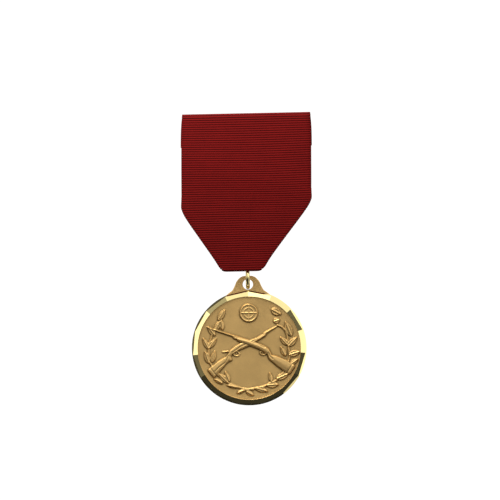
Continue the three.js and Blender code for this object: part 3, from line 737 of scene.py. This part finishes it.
def twisting_group():
    """Node group: an edge path becomes two strands laid round each other."""
    group = bpy.data.node_groups.new("twisted_thread", "GeometryNodeTree")
    for socket, direction, kind in (
        ("Path", "INPUT", "NodeSocketGeometry"), ("Strand Radius", "INPUT", "NodeSocketFloat"),
        ("Twist per Metre", "INPUT", "NodeSocketFloat"),
        ("Thread Material", "INPUT", "NodeSocketMaterial"), ("Thread", "OUTPUT", "NodeSocketGeometry"),
    ):
        group.interface.new_socket(socket, in_out=direction, socket_type=kind)
    given = node(group, "NodeGroupInput")
    radius = given.outputs["Strand Radius"]

    def step(kind, inputs, **settings):
        return node(group, kind, inputs, **settings).outputs[0]

    curve = step("GeometryNodeMeshToCurve", {"Mesh": given.outputs["Path"]})
    even = step("GeometryNodeResampleCurve", {"Curve": curve, "Length": THREAD_STEP}, mode="LENGTH")
    along = node(group, "GeometryNodeSplineParameter").outputs["Length"]
    twist = maths(group, "MULTIPLY", along, given.outputs["Twist per Metre"])
    tilted = step("GeometryNodeSetCurveTilt", {"Curve": even, "Tilt": twist})
    strand = step("GeometryNodeCurvePrimitiveCircle", {"Resolution": 8, "Radius": radius})
    # The two strands stand side by side across the path, one on each side of it.
    gap = maths(group, "MULTIPLY", radius, 1.7)
    apart = node(group, "ShaderNodeCombineXYZ", {"X": gap}).outputs[0]
    start = scaled(group, apart, -0.5)
    seats = step("GeometryNodeMeshLine", {"Count": 2, "Start Location": start, "Offset": apart})
    pair = step("GeometryNodeInstanceOnPoints", {"Points": seats, "Instance": strand})
    laid = step("GeometryNodeRealizeInstances", {"Geometry": pair})
    body = step("GeometryNodeCurveToMesh", {"Curve": tilted, "Profile Curve": laid, "Fill Caps": True})
    smooth = step("GeometryNodeSetShadeSmooth", {"Geometry": body})
    real = step("GeometryNodeRealizeInstances", {"Geometry": smooth})
    cotton = given.outputs["Thread Material"]
    dyed = step("GeometryNodeSetMaterial", {"Geometry": real, "Material": cotton})
    node(group, "NodeGroupOutput", {"Thread": dyed})
    return group


def bent(points, reach, steps=6):
    """Straight runs whose corners are rounded."""
    points = [np.array(p, float) for p in points]
    path = [points[0]]
    for before, corner, after in zip(points, points[1:], points[2:]):
        start = corner + (before - corner) / np.linalg.norm(before - corner) * reach
        end = corner + (after - corner) / np.linalg.norm(after - corner) * reach
        for k in range(steps + 1):
            t = k / steps
            path.append((1 - t) ** 2 * start + 2 * t * (1 - t) * corner + t * t * end)
    return path + [points[-1]]


thread_cotton = dyed_thread()
twisting = twisting_group()


def sewn(name, runs):
    """Thread along several runs, converted to a plain mesh."""
    mesh = bpy.data.meshes.new(name + "_path")
    points, edges = [], []
    for run in runs:
        edges += [(len(points) + k, len(points) + k + 1) for k in range(len(run) - 1)]
        points += [tuple(p) for p in place(run)]
    mesh.from_pydata(points, edges, [])
    path = linked(name + "_path", mesh)
    modifier = path.modifiers.new("twist", "NODES")
    modifier.node_group = twisting
    values = {"Strand Radius": STRAND_RADIUS * MM, "Twist per Metre": 2 * math.pi * TURNS_PER_METRE,
              "Thread Material": thread_cotton}
    for item in twisting.interface.items_tree:
        if item.item_type == "SOCKET" and item.in_out == "INPUT" and item.name in values:
            modifier[item.identifier] = values[item.name]
    evaluated = path.evaluated_get(bpy.context.evaluated_depsgraph_get())
    thread = linked(name, bpy.data.meshes.new_from_object(evaluated))
    bpy.data.objects.remove(path)
    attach(thread, "drape")
    return thread


strip_y = pin_centre[1] + strip_back
pin_runs = []
for x in (-PIN["stitch_x"], PIN["stitch_x"]):
    for turn, lean in ((-0.26, 0.1), (0.0, -0.08), (0.25, 0.05)):
        over, through = strip_y + 0.2 + 0.08 * (turn == 0), strip_y - 0.9
        low, high = pin_centre[2] - PIN["stitch_half"], pin_centre[2] + PIN["stitch_half"]
        pin_runs.append(bent([
            (x + turn * 0.6, through, low), (x + turn, over, low + 0.05),
            (x + turn + lean, over, high - 0.05), (x + turn * 0.6, through, high)], 0.3))
pin_thread = sewn("pin_thread", pin_runs)
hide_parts("pin_stitch_left", "pin_stitch_right")

bail_low, bail_high = in_millimetres("hanger_bail")
BAIL_RADIUS = 0.3
BAIL_WHIPS, WHIP_PITCH = 5, 0.24
leg_x = bail_high[0] - BAIL_RADIUS
leg_y = bail_low[1] + BAIL_RADIUS
cloth_y = 3 * layer - 0.12
bail_runs = []
for x in (-leg_x, leg_x):
    for turn in range(BAIL_WHIPS):
        z = bail_high[2] - 0.75 - WHIP_PITCH * turn
        aside = BAIL_RADIUS + 0.16
        slant = 0.1 if turn % 2 else 0.04
        bail_runs.append(bent([
            (x - aside - 0.12, cloth_y, z), (x - aside, leg_y + aside, z),
            (x + aside, leg_y + aside, z - slant), (x + aside + 0.12, cloth_y, z - slant)], 0.28))
bail_thread = sewn("bail_thread", bail_runs)
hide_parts("bail_stitch_left", "bail_stitch_right")


def raw_edge(side):
    """The turned-back corner's raw edge, from its shoulder to the strip's corner as it is folded."""
    foot = np.array([RIBBON["foot"][side], 0])
    shoulder = np.array([RIBBON["half_width"], RIBBON["shoulder"][side]])
    along = (shoulder - foot) / np.linalg.norm(shoulder - foot)
    corner = np.array([RIBBON["half_width"], 0])
    on_fold = foot + along * (corner - foot).dot(along)
    return shoulder, 2 * on_fold - corner


flap_runs = []
for side, sign in ((0, -1), (1, 1)):
    shoulder, tip = raw_edge(side)
    along = (tip - shoulder) / np.linalg.norm(tip - shoulder)
    across = np.array([-along[1], along[0]])
    for share in (0.24, 0.5, 0.76):
        middle = shoulder + (tip - shoulder) * share
        run = []
        for out, y in ((-0.95, 0.55), (-0.8, 2 * layer + 0.16), (0.8, 2 * layer + 0.1), (0.95, 0.2)):
            x, z = middle + across * out + along * 0.12 * out
            run.append((skewed(sign * x, z), y + bowed(0.5, z) - 0.5, z))
        flap_runs.append(bent(run, 0.2))
flap_thread = sewn("flap_thread", flap_runs)
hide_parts(*[f"flap_stitch_{side}_{spot}" for side in ("left", "right")
                           for spot in ("outer", "middle", "inner")])

# ---------------- hanger bail
# A staple of brass wire sewn behind the ribbon's foot: its bridge stands back from the cloth and
# carries the jump ring.
ring_low, ring_high = in_millimetres("jump_ring")
ring_y = (ring_low[1] + ring_high[1]) / 2
ring_z = (ring_low[2] + ring_high[2]) / 2
bridge_z = bail_low[2] + BAIL_RADIUS
half_bail = [(leg_y, bail_high[2]), (leg_y, bridge_z + 1), (ring_y, bridge_z)]
bail_path = bent([(-leg_x, y, z) for y, z in half_bail] + [(leg_x, y, z) for y, z in half_bail[::-1]],
                 0.7, 10)
bail_wire = tube(bail_path, [BAIL_RADIUS] * len(bail_path), 20)
bail = joined("hanger_bail_wire", [(bail_wire, 0, True)], [brass])
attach(bail, "drape")
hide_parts("hanger_bail")

# ---------------- jump ring
# Gilt wire wound, sawn through and closed: its two ends meet behind, with the saw cut between them.
RING_WIRE = 0.55
RING_CUT = math.radians(2)
ring_radius = (ring_high[2] - ring_low[2]) / 2 - RING_WIRE
ring_path = [(0, ring_radius * math.cos(a), ring_radius * math.sin(a))
             for a in np.linspace(RING_CUT / 2, 2 * math.pi - RING_CUT / 2, 121)]
ring_wire = tube(ring_path, [RING_WIRE] * len(ring_path), 28)
ring = joined("jump_ring_wire", [(ring_wire, 0, True)], [mirror_gilt], (0, ring_y, ring_z))
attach(ring, "ring")
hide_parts("jump_ring")

# ---------------- medal disc
# One piece of gilt brass, struck with its relief and its lug: the sunk field is left with a fine
# sand-blasted satin, and the rim is fly-cut into fifteen mirror-bright flats, each with a steeper
# one outside it.
DISC = {
    "radius": 15.5,
    "facets": 15,
    "facet_slope": 0.32,
    "outer_slope": 0.75,
    "outer_width": 0.25,
    "rim_width": 1.6,
    "field_depth": 0.6,
    "reverse_depth": 0.3,
    "hole_radius": 1.4,
    "hole_drop": 2.35,
    "tab_half_thickness": 0.55,
    "grid_step": 0.1,
    "die_turn": 1.2,
}
disc_low, disc_high = in_millimetres("medal_disc")
disc_centre = np.array([0, (disc_low[1] + disc_high[1]) / 2, disc_low[2] + DISC["radius"]])
half_disc = (disc_high[1] - disc_low[1]) / 2
tab_top = disc_high[2] - disc_centre[2]
field_radius = DISC["radius"] - DISC["rim_width"]
field_y = -half_disc + DISC["field_depth"]
satin_gilt = plated("satin_gilt", (0.62, 0.405, 0.155), 0.49, 5200.0, 0.00002)


def dome(distance, height, shoulder):
    """A rounded rise from an outline, whose inside distance is given, to a flat top."""
    t = np.clip(distance / shoulder, 0, 1)
    return height * np.sqrt(1 - (1 - t) ** 2)


def turned(x, z, centre, degrees):
    """Measures along and across a shape that stands at a centre and points some way."""
    angle = math.radians(degrees)
    dx, dz = x - centre[0], z - centre[1]
    return dx * math.cos(angle) + dz * math.sin(angle), -dx * math.sin(angle) + dz * math.cos(angle)


def from_segment(x, z, start, end):
    """The distance from a straight line between two points."""
    ex, ez = end[0] - start[0], end[1] - start[1]
    along = np.clip(((x - start[0]) * ex + (z - start[1]) * ez) / (ex * ex + ez * ez), 0, 1)
    return np.hypot(x - start[0] - along * ex, z - start[1] - along * ez)


def inside(x, z, corners):
    """Signed distance into a polygon, positive inside."""
    nearest = np.full(x.shape, 1e9)
    within = np.zeros(x.shape, bool)
    for (x0, z0), (x1, z1) in zip(corners, corners[1:] + corners[:1]):
        nearest = np.minimum(nearest, from_segment(x, z, (x0, z0), (x1, z1)))
        crosses = (z0 > z) != (z1 > z)
        with np.errstate(divide="ignore", invalid="ignore"):
            at = x0 + (z - z0) * (x1 - x0) / (z1 - z0)
        within ^= crosses & (x < at)
    return np.where(within, nearest, -nearest)


def from_path(x, z, path):
    return np.minimum.reduce([from_segment(x, z, a, b) for a, b in zip(path, path[1:])])


def cord(x, z, path, half_width, height):
    """A round raised line along a path."""
    return dome(half_width - from_path(x, z, path), height, half_width)


LEAF = {"rise": 0.5, "hollow": 0.22, "midrib": 0.08, "vein": 0.035, "vein_pitch": 0.52}


def leaf(x, z, centre, heading, length, width):
    """A pointed laurel leaf: a raised edge, a hollow on each side of the midrib, and side veins."""
    along, across = turned(x, z, centre, heading)
    share = np.clip(along / length + 0.5, 0, 1)
    half = width / 2 * np.sin(math.pi * share ** 0.85) ** 0.75
    reach = np.where((share > 0) & (share < 1), half, 0)
    across_share = np.clip(np.abs(across) / np.maximum(reach, 1e-6), 0, 1)
    body = LEAF["rise"] * np.maximum(1 - across_share ** 5, 0) ** 0.5
    hollow = LEAF["hollow"] * np.exp(-((across_share - 0.45) / 0.25) ** 2) * np.minimum(reach / 0.5, 1)
    midrib = LEAF["midrib"] * np.exp(-(across / 0.09) ** 2)
    slanted = (along - 1.3 * np.abs(across)) * 2 * math.pi / LEAF["vein_pitch"]
    veins = LEAF["vein"] * np.cos(slanted) * (across_share < 0.8)
    rise = body - hollow + midrib + veins * np.minimum(reach / 0.4, 1)
    return np.where((reach > 0.02) & (across_share < 1), np.maximum(rise, 0.02), 0)


# The laurel: (x, z, heading, length, width) of each leaf, foot to top, then the branches' stalks.
LEFT_LEAVES = [
    (-2.4, -11.8, 205, 2.0, 1.0), (-4.6, -10.3, 168, 3.2, 0.9), (-7.0, -8.1, 136, 3.6, 1.5),
    (-5.9, -7.7, 112, 3.0, 1.1), (-8.3, -8.9, 152, 2.8, 1.1), (-11.4, -2.5, 108, 3.4, 1.5),
    (-9.7, -2.3, 74, 3.2, 1.4), (-11.7, 1.2, 118, 3.4, 1.3), (-9.9, 1.3, 54, 3.3, 1.3),
    (-10.2, 4.6, 128, 3.1, 1.5), (-8.5, 6.1, 62, 3.0, 1.5), (-7.4, 6.3, 96, 2.8, 1.2),
    (-7.5, 8.9, 58, 3.4, 1.5),
]
RIGHT_LEAVES = [
    (0.2, -12.2, -28, 2.3, 1.2), (3.3, -11.2, -14, 3.8, 1.4), (6.3, -9.9, 4, 3.3, 1.7),
    (5.8, -7.9, 100, 2.6, 1.1), (9.0, -7.6, 24, 3.7, 1.7), (12.1, -3.7, 34, 2.8, 1.2),
    (12.2, -1.4, 18, 3.3, 1.7), (9.2, -0.9, 118, 2.8, 1.3), (11.7, 1.7, 46, 3.3, 1.6),
    (9.4, 1.9, 132, 2.9, 1.4), (10.6, 5.2, 112, 4.2, 1.9), (7.4, 7.4, 20, 1.8, 1.6),
    (7.3, 9.8, -28, 3.0, 2.0),
]
LEFT_STALK = [(1.0, -11.3), (-2.0, -10.9), (-5.4, -9.6), (-8.9, -6.9), (-10.9, -3.4), (-11.0, 0.2),
              (-10.2, 3.2), (-8.6, 6.6)]
RIGHT_STALK = [(-2.9, -11.7), (0.2, -11.1), (3.9, -10.4), (7.4, -8.7), (10.0, -5.6), (10.9, -2.3),
               (10.5, 1.0), (10.3, 3.2), (9.8, 4.7), (8.9, 5.7), (7.6, 6.2)]


def wreath(x, z):
    rise = np.maximum(cord(x, z, LEFT_STALK, 0.27, 0.34), cord(x, z, RIGHT_STALK, 0.27, 0.38))
    for at_x, at_z, heading, length, width in LEFT_LEAVES + RIGHT_LEAVES:
        rise = np.maximum(rise, leaf(x, z, (at_x, at_z), heading, length, width))
    return rise


# Two old bolt-action rifles, each as outlines on the field: barrel, woodwork and deep butt, then the
# lines cut into them and the trigger guard's place.
UPPER_GUN = {
    "barrel": [(-11.5, 5.8), (-3.4, 3.3), (-3.6, 2.75), (-11.3, 5.35)],
    "stock": [(-4.4, 3.6), (-0.3, 2.35), (1.8, 1.6), (3.2, 1.15), (4.3, 0.6), (5.3, -0.15), (5.75, -1.0),
              (6.1, -1.8), (7.3, -2.0), (10.0, -3.1), (12.3, -4.6), (12.3, -5.1), (10.9, -7.1),
              (9.0, -6.0), (7.2, -4.65), (6.3, -3.8), (5.6, -3.35), (5.15, -2.6), (4.9, -1.75),
              (3.4, -0.75), (1.9, -0.05), (-1.1, 1.15), (-3.2, 1.95), (-3.4, 2.3), (-4.1, 2.45),
              (-4.45, 2.95)],
    "lines": [[(-3.9, 3.0), (0.0, 1.95), (2.6, 0.95), (4.2, 0.2)], [(11.6, -4.4), (10.3, -6.5)],
              [(5.2, -1.2), (5.6, -2.2), (6.4, -2.9)]],
    "guard": (3.75, -1.3),
}
UNDER_GUN = {
    "barrel": [(7.7, 6.2), (4.3, 4.5), (3.6, 4.0), (3.9, 3.4), (4.6, 3.8), (7.4, 5.7)],
    "stock": [(4.5, 4.35), (1.8, 2.7), (-2.6, 1.3), (-4.0, 0.4), (-5.3, -0.6), (-5.7, -1.4), (-6.4, -2.3),
              (-8.7, -3.7), (-11.1, -5.7), (-11.2, -6.1), (-9.6, -8.1), (-8.4, -6.9), (-7.3, -5.6),
              (-6.4, -4.5), (-5.6, -3.75), (-4.95, -3.6), (-4.6, -3.1), (-4.9, -2.3), (-4.5, -1.7),
              (-2.4, -0.5), (0.2, 0.6), (2.1, 1.9), (3.2, 2.5), (4.3, 3.2), (4.7, 3.8)],
    "lines": [[(4.2, 3.8), (1.6, 2.15), (-2.2, 0.45), (-4.6, -1.2)], [(-10.4, -5.5), (-8.9, -7.4)],
              [(-5.6, -2.1), (-6.4, -3.9), (-8.2, -5.2), (-9.2, -6.3)]],
    "guard": (-3.45, -1.6),
}


def gun(x, z, shape, height):
    """The rise of one rifle over the field, from its outlines and the cuts across its woodwork."""
    barrel = dome(inside(x, z, shape["barrel"]), 0.7 * height, 0.28)
    depth = inside(x, z, shape["stock"])
    stock = dome(depth, 0.8 * height, 0.3) + 0.2 * height * np.clip(depth / 1.2, 0, 1)
    for path in shape["lines"]:
        cut = np.exp(-(from_path(x, z, path) / 0.13) ** 2)
        stock -= 0.22 * height * cut * (depth > 0.05)
    gx, gz = shape["guard"]
    loop = np.hypot((x - gx) / 1.35, z - gz)
    guard = dome(0.17 - np.abs(loop - 0.55), 0.45 * height, 0.17)
    trigger = cord(x, z, [(gx, gz + 0.7), (gx - 0.1, gz - 0.1)], 0.14, 0.35 * height)
    return np.maximum.reduce([barrel, np.where(depth > 0, stock, 0), guard, trigger])


def sight_mark(x, z):
    """A round target badge: a raised plate with a rolled edge, a cross and a ring inside it."""
    centre, radius, edge, ring = (-0.15, 9.5), 2.45, 2.26, 1.35
    away = np.hypot(x - centre[0], z - centre[1])
    dx, dz = np.abs(x - centre[0]), np.abs(z - centre[1])
    plate = dome(radius - away, 0.3, 0.12)
    lines = np.maximum.reduce([
        dome(0.17 - np.abs(away - edge), 0.16, 0.17),
        dome(0.12 - np.abs(away - ring), 0.12, 0.12),
        dome(0.15 - np.minimum(dx, dz), 0.16, 0.15) * (away < 2.2),
    ])
    return plate + lines * (away < radius)


def relief_height(x, z):
    """Everything raised on the field, drawn square and turned as the die was set."""
    turn = math.radians(DISC["die_turn"])
    x, z = x * math.cos(turn) - z * math.sin(turn), x * math.sin(turn) + z * math.cos(turn)
    under = gun(x, z, UNDER_GUN, 0.62)
    over = gun(x, z, UPPER_GUN, 0.8)
    bolt = cord(x, z, [(-7.1, -1.1), (-5.7, -0.9)], 0.2, 0.35)
    return np.maximum.reduce([wreath(x, z) * 0.95, under, over, bolt, sight_mark(x, z)])


def softened(height):
    """Struck metal has no razor edges: a sample is averaged with its neighbours."""
    across = (np.roll(height, 1, 0) + 2 * height + np.roll(height, -1, 0)) / 4
    return (np.roll(across, 1, 1) + 2 * across + np.roll(across, -1, 1)) / 4


def struck_field():
    """The field's front as a grid of points, its cells, and how deep in a corner each point is, which
    sets the painted shade in the corners.
    """
    reach = field_radius + 0.2
    ticks = np.arange(-reach, reach + DISC["grid_step"], DISC["grid_step"])
    x, z = np.meshgrid(ticks, ticks)
    height = softened(relief_height(x, z))
    spread = height
    for _ in range(10):
        spread = softened(spread)
    # Painted shade: how strongly each point is darkened, most at the foot of each raised edge.
    recess_shade = np.clip((spread - height) / 0.09, 0, 1)
    height += 0.1 * np.clip(np.hypot(x, z) / field_radius, 0, 1) ** 4
    top = np.stack([x, field_y - height, z], -1)
    middle_x, middle_z = (x[:-1, :-1] + x[1:, 1:]) / 2, (z[:-1, :-1] + z[1:, 1:]) / 2
    return top, np.hypot(middle_x, middle_z) < reach, recess_shade


def closed_sheet(top, cells, back_y):
    """The height field with a flat back and a wall round its edge."""
    count = top.shape[0] * top.shape[1]
    corners, (p, q) = grid_faces(cells)
    faces = np.concatenate([np.stack(corners, 1), np.stack([q, p, p + count, q + count], 1)])
    back = top.copy()
    back[..., 1] = back_y
    used, compact = np.unique(faces, return_inverse=True)
    made = bmesh.new()
    for point in np.concatenate([top.reshape(-1, 3), back.reshape(-1, 3)])[used]:
        made.verts.new(point)
    made.verts.ensure_lookup_table()
    for face in compact.reshape(faces.shape):
        made.faces.new([made.verts[i] for i in face])
    bmesh.ops.holes_fill(made, edges=[edge for edge in made.edges if edge.is_boundary], sides=0)
    bmesh.ops.triangulate(made, faces=[f for f in made.faces if len(f.verts) > 4])
    return made


def disc_body():
    """The rim with its two rows of flats, the edge and the sunk reverse, all round."""
    per_facet = 12
    half_facet = math.pi / DISC["facets"]
    axis, inner, outer = 0.0001, field_radius, DISC["radius"]
    back, sunk_back = half_disc, half_disc - DISC["reverse_depth"]
    apothem = inner * math.cos(half_facet)
    chord = (outer - DISC["outer_width"]) * math.cos(half_facet)
    made = bmesh.new()
    loops = []
    for column in range(DISC["facets"] * per_facet):
        bearing = math.pi / 2 + column / per_facet * 2 * half_facet
        u, v = math.cos(bearing), math.sin(bearing)
        from_middle = ((column % per_facet) / per_facet - 0.5) * 2 * half_facet

        def cut(radius):
            out = radius * math.cos(from_middle)
            return (-half_disc + DISC["facet_slope"] * max(min(out, chord) - apothem, 0)
                    + DISC["outer_slope"] * max(out - chord, 0))

        meeting = chord / math.cos(from_middle)
        section = [
            (axis, field_y + 0.35), (inner, field_y + 0.35), (inner, cut(inner) + 0.05),
            (inner + 0.05, cut(inner + 0.05)), (meeting, cut(meeting)), (outer, cut(outer)),
            (outer, back - 0.9), (outer, back - 0.3), (outer - 0.09, back - 0.09), (outer - 0.3, back),
            (inner + 0.1, back), (inner - 0.15, sunk_back), (axis, sunk_back),
        ]
        loops.append([made.verts.new((r * u, y, r * v)) for r, y in section])
    return skinned(made, loops, 0.001)


def lug():
    """The ear that the ring goes through: a bell outline with softly broken edges."""
    side = [(-6.2, 13.4), (-6.2, 14.1), (-5.0, 15.1), (-4.25, 15.6), (-3.9, 16.2), (-3.5, 17.0),
            (-3.15, 17.9), (-2.7, 18.5), (-2.1, 19.1), (-1.3, tab_top - 0.08), (0, tab_top)]
    side = [tuple(point) for point in bent(side, 0.22, 3)]
    outline = side + [(-x, z) for x, z in reversed(side)]
    hole = circle(DISC["hole_radius"], (0, tab_top - DISC["hole_drop"]))
    half = DISC["tab_half_thickness"]
    return punched([outline, hole], -half, half, "front", 0.18, 3)


def rim_is_bright(face):
    """The flats are polished; the edge and the reverse keep the satin."""
    middle = face.calc_center_median()
    return int(math.hypot(middle.x, middle.z) > field_radius + 0.04 and middle.y < half_disc - 1)


field_top, field_cells, field_recess_shade = struck_field()
medal = joined("medal_struck", [
    (closed_sheet(field_top, field_cells, field_y + 0.5), 0, True),
    (disc_body(), rim_is_bright, False),
    (lug(), 0, False),
], [satin_gilt, mirror_gilt], disc_centre)
# Painted shade: the satin's colour is darkened along the foot of each raised edge and in the corners of
# the relief, where shade falls.
spots = np.zeros(3 * len(medal.data.vertices))
medal.data.vertices.foreach_get("co", spots)
spots = (spots.reshape(-1, 3) - place(disc_centre)) / MM
cell = np.rint((spots[:, [2, 0]] - field_top[0, 0, 0]) / DISC["grid_step"]).astype(int)
cell = np.clip(cell, 0, len(field_recess_shade) - 1)
low_lying = (spots[:, 1] < field_y + 0.01) & (np.hypot(spots[:, 0], spots[:, 2]) < field_radius - 0.1)
recess_shade_layer = medal.data.attributes.new("recess_shade", "FLOAT", "POINT")
recess_shade_layer.data.foreach_set("value", np.where(low_lying, field_recess_shade[cell[:, 0], cell[:, 1]], 0))
tree = satin_gilt.node_tree
shader = tree.nodes["Principled BSDF"]
depth = node(tree, "ShaderNodeAttribute", attribute_name="recess_shade").outputs["Fac"]
unshaded_colour = shader.inputs["Base Color"].links[0].from_socket
# Painted shade: the base colour is darkened to as little as 0.42 of itself in the corners.
painted_recess_shade = scaled(tree, unshaded_colour, ranged(tree, depth, (0, 1), (1.0, 0.42)))
tree.links.new(painted_recess_shade, shader.inputs["Base Color"])
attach(medal, "disc")
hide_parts("medal_disc")
